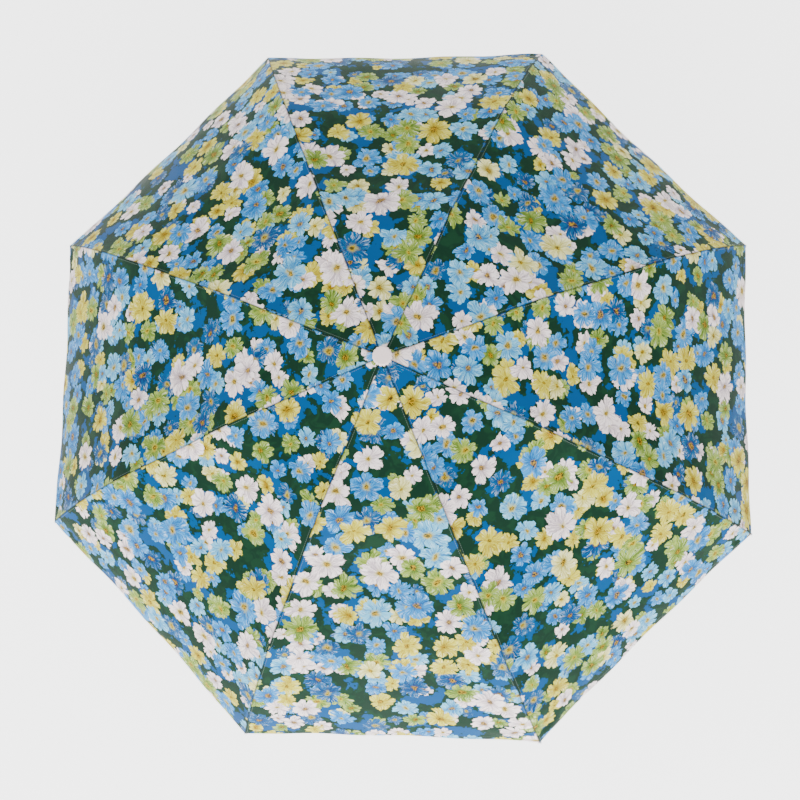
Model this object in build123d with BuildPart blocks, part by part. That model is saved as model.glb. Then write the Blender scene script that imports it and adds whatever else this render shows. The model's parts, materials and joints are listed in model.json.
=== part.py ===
"""Manual three-fold umbrella, shown open and held upright by its handle.

Origin: centre of the handle's base.  +Z runs up the shaft to the finial.
Each rib lies in a plane through the Z axis; one rib is modelled in the XZ plane
and copied round the shaft.
"""
import os
from math import atan2, cos, degrees, hypot, radians, sin, sqrt, tan

from build123d import *

# ---------------------------------------------------------------- driving sizes, mm
RIB_COUNT = 8

# handle
GRIP_LENGTH = 62.0
GRIP_RADIUS = 14.5
GRIP_WAIST_RADIUS = 12.0
GRIP_WAIST_SHARE = 0.45
GRIP_SHOULDER_SHARE = 0.8
GRIP_SHOULDER_SET_IN = 0.5
GRIP_NECK_SET_IN = 2.0
GRIP_NECK_DROP = 3.0
GRIP_RIM_SET_IN = 4.5
END_CAP_HEIGHT = 6.0
LOOP_HOLE_RADIUS = 1.6
TUBE_SEAT_DEPTH = 40.0

# shaft
TOP_TUBE_RADIUS = 7.0
TUBE_WALL = 0.6
TUBE_GAP = 0.1
TOP_TUBE_LENGTH = 215.0
SHAFT_TRAVEL = 120.0
TUBE_OVERLAP = 30.0
COLLAPSED_GAP = 3.0

# crown and runner
PIVOT_OUTSIDE_COLLAR = 2.1
CROWN_RIM = 3.5
CROWN_TOP = 5.0
CROWN_BOTTOM = -5.0
CROWN_ROOF = 2.7
CROWN_CORE_WALL = 2.2
CROWN_SPIGOT_LENGTH = 12.0
STUD_RADIUS = 3.0
STUD_HEIGHT = 7.0
RING_WIRE_RADIUS = 0.6
RING_GAP = 0.05
COLLAR_RIM = 2.5
COLLAR_HALF_HEIGHT = 4.0
COLLAR_CORE_WALL = 2.3
SLEEVE_WALL = 2.9
SLEEVE_LENGTH = 30.0
SLEEVE_FLARE = 2.5
SLEEVE_FLARE_HEIGHT = 4.0
SLEEVE_GAP = 0.1
SLOT_CLEARANCE = 0.3

# runner catch
CATCH_WIDTH = 2.6
CATCH_LENGTH = 9.0
CATCH_BELOW_PIVOT = 6.0
CATCH_PROUD = 1.2
CATCH_DEPTH = 2.6
CATCH_GAP = 0.2
KEYWAY_GAP = 0.4

# ribs
RIB_SHEET = 0.5
RIB_HEIGHT = 3.2
RIB_WIDTH = 3.0
SIDE_GAP = 0.2
PIN_RADIUS = 0.75
PIN_GAP = 0.05
PIVOT_WALL = 0.85
EYE_GAP = 0.2
INNER_LENGTH = 172.0
MIDDLE_LENGTH = 172.0
OUTER_LENGTH = 185.0
INNER_SLOPE = 10.0
MIDDLE_SLOPE = 22.0
OUTER_SLOPE = 30.0
OUTER_BEND = 25.0
OUTER_BAR = 2.4
STRETCHER_PIVOT = 90.0
STRETCHER_LENGTH = 95.0
WEB_CUTBACK = 17.0
FORK_DEPTH = 5.0
FORK_BLOCK = 3.0
FOLD_GAP = 0.6
TAIL_LENGTH = 10.0
TAIL_ANGLE = 200.0
WIRE_TAIL_LENGTH = 8.0
WIRE_TAIL_ANGLE = 190.0
WIRE_END_ANGLE = 180.0
LINK_THICKNESS = 0.8
LINK_WIDTH = 2.0
LINK_GAP = 0.25
TIP_RADIUS = 1.9
TIP_LENGTH = 9.0
TIP_BALL_RADIUS = 2.3
TIP_NECK_SHARE = 0.6

# canopy and finial
FABRIC_THICKNESS = 0.4
FABRIC_GAP = 0.3
FABRIC_HOLE_RADIUS = 4.0
FABRIC_JOINT_LIFT = 0.8
FABRIC_JOINT_SLOPE = 16.0
CAP_RADIUS = 11.0
CAP_HEIGHT = 7.0
CAP_SCALLOPS = 16
CAP_SCALLOP_RADIUS = 0.9
STRAP_WIDTH = 18.0
STRAP_LENGTH = 60.0
STRAP_THICKNESS = 0.6
STRAP_SET_IN = 4.0

# ---------------------------------------------------------------- places along the shaft
GRIP_TOP = GRIP_LENGTH
MIDDLE_TUBE_BOTTOM = GRIP_TOP + COLLAPSED_GAP + SHAFT_TRAVEL
TOP_TUBE_BOTTOM = MIDDLE_TUBE_BOTTOM + SHAFT_TRAVEL
TOP_TUBE_TOP = TOP_TUBE_BOTTOM + TOP_TUBE_LENGTH
CROWN_Z = TOP_TUBE_TOP - CROWN_BOTTOM

# hub and runner sizes, built outwards from the top tube
CROWN_CORE_RADIUS = TOP_TUBE_RADIUS + CROWN_CORE_WALL
COLLAR_CORE_RADIUS = TOP_TUBE_RADIUS + SLEEVE_GAP + COLLAR_CORE_WALL
SLEEVE_RADIUS = TOP_TUBE_RADIUS + SLEEVE_GAP + SLEEVE_WALL
SLEEVE_FLARE_RADIUS = SLEEVE_RADIUS + SLEEVE_FLARE
PIVOT_CIRCLE = COLLAR_CORE_RADIUS + PIVOT_OUTSIDE_COLLAR
CROWN_RADIUS = PIVOT_CIRCLE + CROWN_RIM
COLLAR_RADIUS = PIVOT_CIRCLE + COLLAR_RIM

# shaft tubes that slide in each other
MIDDLE_TUBE_RADIUS = TOP_TUBE_RADIUS - TUBE_WALL - TUBE_GAP
LOWER_TUBE_RADIUS = MIDDLE_TUBE_RADIUS - TUBE_WALL - TUBE_GAP

# ---------------------------------------------------------------- rib geometry in the XZ plane
FORK_WIDTH = RIB_WIDTH + 2 * SIDE_GAP + 2 * RIB_SHEET
LINK_LANE = FORK_WIDTH / 2 + LINK_GAP
PIVOT_BOSS = PIN_RADIUS + PIVOT_WALL
HALF_HEIGHT = RIB_HEIGHT / 2
MIDDLE_PIN_OFFSET = HALF_HEIGHT + FOLD_GAP / 2
OUTER_PIN_OFFSET = (HALF_HEIGHT + OUTER_BAR / 2 + FOLD_GAP / 2) / 2
FABRIC_OVER_OUTER = RIB_HEIGHT
FABRIC_OVER_JOINT = RIB_HEIGHT + FABRIC_JOINT_LIFT


def polar(length, angle):
    """A step of the given length at the given angle in the XZ plane."""
    return (length * cos(radians(angle)), length * sin(radians(angle)))


def step(start, along, up, slope):
    """The point that lies along and above a rib that starts at start and falls by slope."""
    ahead = polar(along, -slope)
    above = polar(up, 90 - slope)
    return (start[0] + ahead[0] + above[0], start[1] + ahead[1] + above[1])


CROWN_PIVOT = (PIVOT_CIRCLE, CROWN_Z)
INNER_JOINT = step(CROWN_PIVOT, INNER_LENGTH, MIDDLE_PIN_OFFSET, INNER_SLOPE)
OUTER_JOINT = step(INNER_JOINT, MIDDLE_LENGTH, -MIDDLE_PIN_OFFSET - OUTER_PIN_OFFSET, MIDDLE_SLOPE)
STRETCHER_TOP = step(CROWN_PIVOT, STRETCHER_PIVOT, 0, INNER_SLOPE)
RUNNER_Z = STRETCHER_TOP[1] - sqrt(STRETCHER_LENGTH**2 - (STRETCHER_TOP[0] - PIVOT_CIRCLE) ** 2)
RUNNER_PIVOT = (PIVOT_CIRCLE, RUNNER_Z)
STRETCHER_RISE = degrees(atan2(STRETCHER_TOP[1] - RUNNER_Z, STRETCHER_TOP[0] - PIVOT_CIRCLE))
OUTER_RADIUS = OUTER_LENGTH / radians(OUTER_BEND)
OUTER_START = step(OUTER_JOINT, 0, OUTER_PIN_OFFSET, OUTER_SLOPE)
OUTER_CENTRE = step(OUTER_START, 0, -OUTER_RADIUS, OUTER_SLOPE)

LINK_TOP = step(INNER_JOINT, *polar(TAIL_LENGTH, TAIL_ANGLE), INNER_SLOPE)
LINK_FOOT = step(STRETCHER_TOP, -TAIL_LENGTH, 0, -STRETCHER_RISE)
WIRE_START = step(INNER_JOINT, *polar(WIRE_TAIL_LENGTH, WIRE_TAIL_ANGLE), INNER_SLOPE)
WIRE_END = step(OUTER_JOINT, *polar(WIRE_TAIL_LENGTH, WIRE_END_ANGLE), MIDDLE_SLOPE)


def rib_plane(origin, slope):
    """A drawing plane in the XZ plane: x along the piece, y above it."""
    ahead = polar(1, -slope)
    return Plane(origin=(origin[0], 0, origin[1]), x_dir=(ahead[0], 0, ahead[1]), z_dir=(0, -1, 0))


def in_plane(point, origin, slope):
    """Coordinates of a point of the XZ plane in the drawing plane of a piece."""
    dx = point[0] - origin[0]
    dz = point[1] - origin[1]
    ahead = polar(1, -slope)
    return (dx * ahead[0] + dz * ahead[1], -dx * ahead[1] + dz * ahead[0])


def plate_between(plane, start, end, width, lane, thickness):
    """A flat round-ended plate from start to end, drawn in plane, at a lane beside it."""
    middle = ((start[0] + end[0]) / 2, (start[1] + end[1]) / 2)
    reach = hypot(end[0] - start[0], end[1] - start[1])
    turn = degrees(atan2(end[1] - start[1], end[0] - start[0]))
    with BuildSketch(plane.offset(lane)) as outline:
        with Locations(middle):
            SlotCenterToCenter(reach, width, rotation=turn)
    extrude(outline.sketch, amount=thickness)


def pin_through(plane, centre, width):
    """A flush rivet across a piece, as its own solid."""
    with BuildPart() as pin:
        with BuildSketch(plane):
            with Locations(centre):
                Circle(PIN_RADIUS)
        extrude(amount=width / 2, both=True)
    return pin.part


def bore_through(plane, centre, radius):
    """A round hole right across the piece under construction."""
    with BuildSketch(plane) as hole:
        with Locations(centre):
            Circle(radius)
    extrude(hole.sketch, amount=FORK_WIDTH, both=True, mode=Mode.SUBTRACT)


# ---------------------------------------------------------------- rib pieces
def make_inner_rib():
    plane = rib_plane(CROWN_PIVOT, INNER_SLOPE)
    joint = (INNER_LENGTH, MIDDLE_PIN_OFFSET)
    lug_top = MIDDLE_PIN_OFFSET + PIVOT_BOSS
    with BuildPart() as rib:
        with BuildSketch(plane):
            with Locations((INNER_LENGTH / 2, 0)):
                SlotCenterToCenter(INNER_LENGTH, RIB_HEIGHT)
            with Locations((INNER_LENGTH, lug_top / 2)):
                Rectangle(2 * PIVOT_BOSS, lug_top)
        extrude(amount=RIB_WIDTH / 2, both=True)
        # the folded sheet is open along its underside between the two solid ends
        channel_start = 2 * HALF_HEIGHT
        channel_end = INNER_LENGTH - 2 * WIRE_TAIL_LENGTH
        with BuildSketch(plane):
            with Locations(((channel_start + channel_end) / 2, -RIB_SHEET)):
                Rectangle(channel_end - channel_start, RIB_HEIGHT)
        extrude(amount=RIB_WIDTH / 2 - RIB_SHEET, both=True, mode=Mode.SUBTRACT)
        bore_through(plane, (0, 0), RING_WIRE_RADIUS + EYE_GAP)
        bore_through(plane, (STRETCHER_PIVOT, 0), PIN_RADIUS + PIN_GAP)
        bore_through(plane, joint, PIN_RADIUS + PIN_GAP)
        wire_hole = in_plane(WIRE_START, CROWN_PIVOT, INNER_SLOPE)
        bore_through(plane, wire_hole, PIN_RADIUS + PIN_GAP)
    return rib.part


def make_stretcher():
    plane = rib_plane(RUNNER_PIVOT, -STRETCHER_RISE)
    with BuildPart() as stretcher:
        with BuildSketch(plane):
            with Locations((STRETCHER_LENGTH / 2, 0)):
                SlotCenterToCenter(STRETCHER_LENGTH, RIB_HEIGHT)
        extrude(amount=FORK_WIDTH / 2, both=True)
        inside = FORK_WIDTH / 2 - RIB_SHEET
        web_end = STRETCHER_LENGTH - WEB_CUTBACK
        with BuildSketch(plane):
            with Locations((web_end / 2, -RIB_SHEET)):
                Rectangle(web_end + 4 * RIB_HEIGHT, RIB_HEIGHT)
        extrude(amount=inside, both=True, mode=Mode.SUBTRACT)
        with BuildSketch(plane):
            with Locations((web_end + WEB_CUTBACK, 0)):
                Rectangle(2 * WEB_CUTBACK, 2 * RIB_HEIGHT)
        extrude(amount=inside, both=True, mode=Mode.SUBTRACT)
        bore_through(plane, (0, 0), RING_WIRE_RADIUS + EYE_GAP)
        bore_through(plane, (STRETCHER_LENGTH, 0), PIN_RADIUS + PIN_GAP)
    pin = pin_through(plane, (STRETCHER_LENGTH, 0), FORK_WIDTH)
    return Compound(children=[stretcher.part.solid(), pin.solid()])


def make_middle_rib():
    plane = rib_plane(INNER_JOINT, MIDDLE_SLOPE)
    centre = -MIDDLE_PIN_OFFSET
    outer_pin = (MIDDLE_LENGTH, centre - OUTER_PIN_OFFSET)
    tail = in_plane(LINK_TOP, INNER_JOINT, MIDDLE_SLOPE)
    with BuildPart() as rib:
        # fork cheeks and their block
        with BuildSketch(plane):
            with Locations((FORK_DEPTH / 2 + FORK_BLOCK / 2, centre)):
                Rectangle(FORK_DEPTH + FORK_BLOCK, RIB_HEIGHT)
            Circle(PIVOT_BOSS)
            with Locations((0, centre / 2)):
                Rectangle(2 * PIVOT_BOSS, -centre)
            with Locations((0, centre)):
                Circle(HALF_HEIGHT)
        extrude(amount=FORK_WIDTH / 2, both=True)
        # slender channel with its solid nose
        with BuildSketch(plane):
            with Locations(((FORK_DEPTH + MIDDLE_LENGTH) / 2, centre)):
                Rectangle(MIDDLE_LENGTH - FORK_DEPTH, RIB_HEIGHT)
            with Locations((MIDDLE_LENGTH, centre)):
                Circle(HALF_HEIGHT)
            with Locations((MIDDLE_LENGTH, centre - OUTER_PIN_OFFSET / 2)):
                Rectangle(2 * PIVOT_BOSS, OUTER_PIN_OFFSET)
            with Locations(outer_pin):
                Circle(PIVOT_BOSS)
        extrude(amount=RIB_WIDTH / 2, both=True)
        with BuildSketch(plane):
            with Locations((0, centre)):
                Rectangle(2 * FORK_DEPTH, 4 * RIB_HEIGHT)
        extrude(amount=FORK_WIDTH / 2 - RIB_SHEET, both=True, mode=Mode.SUBTRACT)
        channel_start = FORK_DEPTH + FORK_BLOCK
        channel_end = MIDDLE_LENGTH - 2 * WIRE_TAIL_LENGTH
        with BuildSketch(plane):
            with Locations(((channel_start + channel_end) / 2, centre - RIB_SHEET)):
                Rectangle(channel_end - channel_start, RIB_HEIGHT)
        extrude(amount=RIB_WIDTH / 2 - RIB_SHEET, both=True, mode=Mode.SUBTRACT)
        plate_between(plane, (0, 0), tail, 2 * PIVOT_BOSS, -FORK_WIDTH / 2, RIB_SHEET)
        bore_through(plane, (0, 0), PIN_RADIUS + PIN_GAP)
        bore_through(plane, tail, PIN_RADIUS + PIN_GAP)
        bore_through(plane, outer_pin, PIN_RADIUS + PIN_GAP)
    pin = pin_through(plane, (0, 0), FORK_WIDTH)
    return Compound(children=[rib.part.solid(), pin.solid()])


def make_outer_rib():
    plane = rib_plane(OUTER_JOINT, OUTER_SLOPE)
    centre = OUTER_PIN_OFFSET
    half_bar = OUTER_BAR / 2
    hub = (0, centre - OUTER_RADIUS)
    tail = in_plane(WIRE_END, OUTER_JOINT, OUTER_SLOPE)
    bar_start = 90 - degrees((FORK_DEPTH + RIB_SHEET) / OUTER_RADIUS)
    bar_end = 90 - OUTER_BEND
    with BuildPart() as rib:
        with BuildSketch(plane):
            with Locations(((FORK_DEPTH + FORK_BLOCK) / 2, centre)):
                Rectangle(FORK_DEPTH + FORK_BLOCK, OUTER_BAR)
            Circle(PIVOT_BOSS)
            with Locations((0, centre / 2)):
                Rectangle(2 * PIVOT_BOSS, centre)
            with Locations((0, centre)):
                Circle(half_bar)
        extrude(amount=FORK_WIDTH / 2, both=True)
        with BuildSketch(plane):
            with BuildLine():
                top = CenterArc(hub, OUTER_RADIUS + half_bar, bar_start, bar_end - bar_start)
                under = CenterArc(hub, OUTER_RADIUS - half_bar, bar_start, bar_end - bar_start)
                Line(top @ 0, under @ 0)
                Line(top @ 1, under @ 1)
            make_face()
        extrude(amount=half_bar, both=True)
        with BuildSketch(plane):
            with Locations((0, centre)):
                Rectangle(2 * FORK_DEPTH, 4 * RIB_HEIGHT)
        extrude(amount=FORK_WIDTH / 2 - RIB_SHEET, both=True, mode=Mode.SUBTRACT)
        plate_between(plane, (0, 0), tail, 2 * PIVOT_BOSS, FORK_WIDTH / 2 - RIB_SHEET, RIB_SHEET)
        bore_through(plane, (0, 0), PIN_RADIUS + PIN_GAP)
        bore_through(plane, tail, PIN_RADIUS + PIN_GAP)
    pin = pin_through(plane, (0, 0), FORK_WIDTH)
    end_angle = radians(90 - OUTER_SLOPE - OUTER_BEND)
    end = (OUTER_CENTRE[0] + OUTER_RADIUS * cos(end_angle), OUTER_CENTRE[1] + OUTER_RADIUS * sin(end_angle))
    tip_plane = rib_plane(end, OUTER_SLOPE + OUTER_BEND)
    with BuildPart() as tip:
        with BuildSketch(tip_plane):
            with BuildLine():
                Polyline(
                    (0, 0),
                    (0, TIP_RADIUS),
                    (TIP_LENGTH / 3, TIP_RADIUS),
                    (TIP_LENGTH - TIP_BALL_RADIUS, TIP_RADIUS * TIP_NECK_SHARE),
                    (TIP_LENGTH - TIP_BALL_RADIUS, 0),
                    close=True,
                )
            make_face()
        revolve(axis=Axis(tip_plane.origin, tip_plane.x_dir))
        with Locations(tip_plane.location * Location((TIP_LENGTH - TIP_BALL_RADIUS, 0, 0))):
            Sphere(TIP_BALL_RADIUS)
    return Compound(children=[rib.part.solid(), pin.solid(), tip.part.solid()])


def make_link(start, end, slope, lane, pin_depth):
    """A flat link with an eye at each end; its rivet at start reaches back into its carrier."""
    plane = rib_plane(start, slope)
    far = in_plane(end, start, slope)
    with BuildPart() as link:
        plate_between(plane, (0, 0), far, LINK_WIDTH, lane, LINK_THICKNESS)
        for eye in ((0, 0), far):
            with BuildSketch(plane.offset(lane)):
                with Locations(eye):
                    Circle(PIVOT_BOSS)
            extrude(amount=LINK_THICKNESS)
        for eye in ((0, 0), far):
            bore_through(plane.offset(lane), eye, PIN_RADIUS + PIN_GAP)
    outside = lane + LINK_THICKNESS if lane > 0 else lane
    with BuildPart() as rivet:
        with BuildSketch(plane.offset(outside)):
            Circle(PIN_RADIUS)
        extrude(amount=-pin_depth if lane > 0 else pin_depth)
    with BuildPart() as stub:
        with BuildSketch(plane.offset(lane)):
            with Locations(far):
                Circle(PIN_RADIUS)
        extrude(amount=LINK_THICKNESS)
    return Compound(children=[link.part.solid(), rivet.part.solid(), stub.part.solid()])


# ---------------------------------------------------------------- shaft pieces
def make_tube(bottom, top, radius):
    with BuildPart() as tube:
        with BuildSketch(Plane.XY.offset(bottom)):
            Circle(radius)
            Circle(radius - TUBE_WALL, mode=Mode.SUBTRACT)
        extrude(amount=top - bottom)
    return tube


def cut_catch_slot():
    """The slot in the tube wall that the catch moves through, facing +X."""
    middle = RUNNER_Z - CATCH_BELOW_PIVOT - CATCH_LENGTH / 2
    with Locations((TOP_TUBE_RADIUS, 0, middle)):
        Box(
            4 * TUBE_WALL,
            CATCH_WIDTH + 2 * CATCH_GAP,
            CATCH_LENGTH + 2 * CATCH_GAP,
            mode=Mode.SUBTRACT,
        )


def make_crown():
    with BuildPart() as crown:
        with BuildSketch(Plane.XZ):
            with BuildLine():
                Polyline(
                    (0, CROWN_Z + CROWN_TOP + STUD_HEIGHT),
                    (STUD_RADIUS, CROWN_Z + CROWN_TOP + STUD_HEIGHT),
                    (STUD_RADIUS, CROWN_Z + CROWN_TOP),
                    (CROWN_RADIUS - 1, CROWN_Z + CROWN_TOP),
                    (CROWN_RADIUS, CROWN_Z + CROWN_TOP - 1),
                    (CROWN_RADIUS, CROWN_Z + CROWN_BOTTOM),
                    (TOP_TUBE_RADIUS - TUBE_WALL, CROWN_Z + CROWN_BOTTOM),
                    (TOP_TUBE_RADIUS - TUBE_WALL, CROWN_Z + CROWN_BOTTOM - CROWN_SPIGOT_LENGTH),
                    (0, CROWN_Z + CROWN_BOTTOM - CROWN_SPIGOT_LENGTH),
                    close=True,
                )
            make_face()
        revolve(axis=Axis.Z)
        slot_width = RIB_WIDTH + 2 * SLOT_CLEARANCE
        slot_height = CROWN_ROOF - CROWN_BOTTOM
        with PolarLocations(CROWN_CORE_RADIUS, RIB_COUNT, start_angle=180 / RIB_COUNT):
            with Locations((CROWN_RADIUS / 2, 0, CROWN_Z + CROWN_ROOF - slot_height / 2)):
                Box(CROWN_RADIUS, slot_width, slot_height, mode=Mode.SUBTRACT)
        cut_ring_groove(CROWN_Z, CROWN_BOTTOM, RING_WIRE_RADIUS + RING_GAP)
    crown.part.label = "crown"
    return crown


def cut_ring_groove(height, low, high):
    """An annular groove for the ring wire, from low to high about the given height."""
    groove = RING_WIRE_RADIUS + RING_GAP
    with BuildSketch(Plane.XY.offset(height + low)) as annulus:
        Circle(PIVOT_CIRCLE + groove)
        Circle(PIVOT_CIRCLE - groove, mode=Mode.SUBTRACT)
    extrude(annulus.sketch, amount=high - low, mode=Mode.SUBTRACT)


def make_ring(height, open_slots):
    """The wire ring that the rib eyes turn on; open_slots leaves it only in the lobes."""
    with BuildPart() as ring:
        with BuildSketch(Plane.XZ):
            with Locations((PIVOT_CIRCLE, height)):
                Circle(RING_WIRE_RADIUS)
        revolve(axis=Axis.Z)
        if open_slots:
            with PolarLocations(PIVOT_CIRCLE, RIB_COUNT, start_angle=180 / RIB_COUNT):
                with Locations((0, 0, height)):
                    Box(
                        4 * RING_WIRE_RADIUS,
                        FORK_WIDTH + 2 * SLOT_CLEARANCE,
                        4 * RING_WIRE_RADIUS,
                        mode=Mode.SUBTRACT,
                    )
    return ring


def make_runner():
    with BuildPart() as runner:
        bottom = RUNNER_Z - SLEEVE_LENGTH
        with BuildSketch(Plane.XZ):
            with BuildLine():
                Polyline(
                    (TOP_TUBE_RADIUS + SLEEVE_GAP, RUNNER_Z + COLLAR_HALF_HEIGHT),
                    (COLLAR_RADIUS, RUNNER_Z + COLLAR_HALF_HEIGHT),
                    (COLLAR_RADIUS, RUNNER_Z - COLLAR_HALF_HEIGHT),
                    (SLEEVE_RADIUS, RUNNER_Z - COLLAR_HALF_HEIGHT),
                    (SLEEVE_RADIUS, bottom + 2 * SLEEVE_FLARE_HEIGHT),
                    (SLEEVE_FLARE_RADIUS, bottom + SLEEVE_FLARE_HEIGHT),
                    (SLEEVE_FLARE_RADIUS, bottom),
                    (TOP_TUBE_RADIUS + SLEEVE_GAP, bottom),
                    close=True,
                )
            make_face()
        revolve(axis=Axis.Z)
        with PolarLocations(COLLAR_CORE_RADIUS, RIB_COUNT, start_angle=180 / RIB_COUNT):
            with Locations((COLLAR_RADIUS / 2, 0, RUNNER_Z)):
                Box(
                    COLLAR_RADIUS,
                    FORK_WIDTH + 2 * SLOT_CLEARANCE,
                    2 * COLLAR_HALF_HEIGHT,
                    mode=Mode.SUBTRACT,
                )
        cut_ring_groove(RUNNER_Z, -RING_WIRE_RADIUS - RING_GAP, COLLAR_HALF_HEIGHT)
        # keyway that clears the catch, and the window that a finger presses it through
        key_reach = TOP_TUBE_RADIUS + CATCH_PROUD + KEYWAY_GAP
        with Locations((key_reach / 2, 0, RUNNER_Z)):
            Box(
                key_reach,
                CATCH_WIDTH + 2 * KEYWAY_GAP,
                3 * SLEEVE_LENGTH,
                mode=Mode.SUBTRACT,
            )
        window_middle = RUNNER_Z - CATCH_BELOW_PIVOT - CATCH_LENGTH / 2
        with Locations((SLEEVE_RADIUS, 0, window_middle)):
            Box(
                SLEEVE_RADIUS - TOP_TUBE_RADIUS + 1,
                CATCH_WIDTH + 2 * KEYWAY_GAP,
                CATCH_LENGTH + 4 * KEYWAY_GAP,
                mode=Mode.SUBTRACT,
            )
    runner.part.label = "runner"
    return runner


def make_catch():
    """The wedge that the runner rests on when the umbrella is up."""
    top = RUNNER_Z - CATCH_BELOW_PIVOT
    outside = TOP_TUBE_RADIUS + CATCH_PROUD
    inside = outside - CATCH_DEPTH
    with BuildPart() as catch:
        with BuildSketch(Plane.XZ):
            with BuildLine():
                Polyline(
                    (inside, top),
                    (outside, top),
                    (outside, top - CATCH_LENGTH / 4),
                    (TOP_TUBE_RADIUS, top - CATCH_LENGTH),
                    (inside, top - CATCH_LENGTH),
                    close=True,
                )
            make_face()
        extrude(amount=CATCH_WIDTH / 2, both=True)
    return catch


# ---------------------------------------------------------------- handle
def make_grip():
    with BuildPart() as grip:
        with BuildSketch(Plane.XZ):
            with BuildLine():
                side = Spline(
                    (GRIP_RADIUS, END_CAP_HEIGHT),
                    (GRIP_WAIST_RADIUS, GRIP_TOP * GRIP_WAIST_SHARE),
                    (GRIP_RADIUS - GRIP_SHOULDER_SET_IN, GRIP_TOP * GRIP_SHOULDER_SHARE),
                    (GRIP_RADIUS - GRIP_NECK_SET_IN, GRIP_TOP - GRIP_NECK_DROP),
                )
                Line(side @ 1, (GRIP_RADIUS - GRIP_RIM_SET_IN, GRIP_TOP))
                Line((GRIP_RADIUS - GRIP_RIM_SET_IN, GRIP_TOP), (LOWER_TUBE_RADIUS, GRIP_TOP))
                Line((LOWER_TUBE_RADIUS, GRIP_TOP), (LOWER_TUBE_RADIUS, GRIP_TOP - TUBE_SEAT_DEPTH))
                Line((LOWER_TUBE_RADIUS, GRIP_TOP - TUBE_SEAT_DEPTH), (0, GRIP_TOP - TUBE_SEAT_DEPTH))
                Line((0, GRIP_TOP - TUBE_SEAT_DEPTH), (0, END_CAP_HEIGHT))
                Line((0, END_CAP_HEIGHT), side @ 0)
            make_face()
        revolve(axis=Axis.Z)
    grip.part.label = "handle_grip"
    return grip


def make_end_cap():
    with BuildPart() as cap:
        with BuildSketch(Plane.XY):
            Circle(GRIP_RADIUS)
        extrude(amount=END_CAP_HEIGHT)
        fillet(cap.faces().sort_by(Axis.Z)[0].edges(), radius=END_CAP_HEIGHT / 5)
        # cross hole that a wrist loop is tied through
        with BuildSketch(Plane.YZ):
            with Locations((GRIP_RADIUS - 3 * LOOP_HOLE_RADIUS, END_CAP_HEIGHT / 2)):
                Circle(LOOP_HOLE_RADIUS)
        extrude(amount=2 * GRIP_RADIUS, both=True, mode=Mode.SUBTRACT)
    cap.part.label = "handle_end_cap"
    return cap


# ---------------------------------------------------------------- finial and canopy
def make_finial_cap():
    base = CROWN_Z + CROWN_TOP + FABRIC_THICKNESS + 2 * FABRIC_GAP
    stud_top = CROWN_Z + CROWN_TOP + STUD_HEIGHT
    with BuildPart() as cap:
        with BuildSketch(Plane.XY.offset(base)):
            Circle(CAP_RADIUS)
        extrude(amount=CAP_HEIGHT)
        fillet(cap.faces().sort_by(Axis.Z)[-1].edges(), radius=CAP_HEIGHT / 3)
        with BuildSketch(Plane.XY.offset(base)):
            Circle(STUD_RADIUS)
        extrude(amount=stud_top - base, mode=Mode.SUBTRACT)
        with BuildSketch(Plane.XY.offset(base)):
            with PolarLocations(CAP_RADIUS, CAP_SCALLOPS):
                Circle(CAP_SCALLOP_RADIUS)
        extrude(amount=CAP_HEIGHT, mode=Mode.SUBTRACT)
    cap.part.label = "finial_cap"
    return cap


def seam_line(lift):
    """Points of a seam, lifted off its place over the rib: hub, joints, then the arc's points."""
    hub_height = CROWN_Z + CROWN_TOP + FABRIC_GAP + lift
    over_joint = step(INNER_JOINT, 0, FABRIC_OVER_JOINT - MIDDLE_PIN_OFFSET + lift, FABRIC_JOINT_SLOPE)
    arc_points = []
    for share in (0, 0.25, 0.5, 0.75, 1):
        angle = radians(90 - OUTER_SLOPE - OUTER_BEND * share)
        reach = OUTER_RADIUS + FABRIC_OVER_OUTER + lift
        arc_points.append((OUTER_CENTRE[0] + reach * cos(angle), OUTER_CENTRE[1] + reach * sin(angle)))
    return [(FABRIC_HOLE_RADIUS, hub_height), (CROWN_RADIUS, hub_height), over_joint], arc_points


def make_gore():
    """One cloth gore: a band bent over two neighbouring ribs and trimmed along its seams."""
    half = 180 / RIB_COUNT
    shrink = cos(radians(half))
    low_run, low_arc = seam_line(0)
    high_run, high_arc = seam_line(FABRIC_THICKNESS)
    low_run = [(x * shrink, z) for x, z in low_run]
    low_arc = [(x * shrink, z) for x, z in low_arc]
    high_run = [(x * shrink, z) for x, z in high_run]
    high_arc = [(x * shrink, z) for x, z in high_arc]
    reach = 2 * low_arc[-1][0]
    with BuildPart() as gore:
        with BuildSketch(Plane.XZ):
            with BuildLine():
                Polyline(*low_run, low_arc[0])
                Spline(*low_arc)
                Line(low_arc[-1], high_arc[-1])
                Spline(*high_arc)
                Polyline(high_arc[0], *reversed(high_run))
                Line(high_run[0], low_run[0])
            make_face()
        extrude(amount=reach, both=True)
        with BuildSketch(Plane.XY):
            side = reach * tan(radians(half))
            Polygon((0, 0), (reach, -side), (reach, side), align=None)
        extrude(amount=2 * CROWN_Z, mode=Mode.INTERSECT)
    return gore.part


def make_strap():
    """The closing strap, sewn flat under the hem of one gore."""
    half = 180 / RIB_COUNT
    low_arc = seam_line(0)[1]
    hem = (low_arc[-1][0] * cos(radians(half)), low_arc[-1][1])
    plane = rib_plane(hem, OUTER_SLOPE + OUTER_BEND)
    with BuildPart() as strap:
        with BuildSketch(plane):
            with Locations((-STRAP_LENGTH / 2 - STRAP_SET_IN, -FABRIC_GAP - STRAP_THICKNESS)):
                Rectangle(STRAP_LENGTH, STRAP_THICKNESS)
        extrude(amount=STRAP_WIDTH / 2, both=True)
    return strap.part


# ---------------------------------------------------------------- build and write
def placed(shape, index):
    """A copy of a rib piece turned to its own place round the shaft, its rivets kept separate."""
    return shape.rotate(Axis.Z, (index + 0.5) * 360 / RIB_COUNT)


os.makedirs("parts", exist_ok=True)

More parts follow.
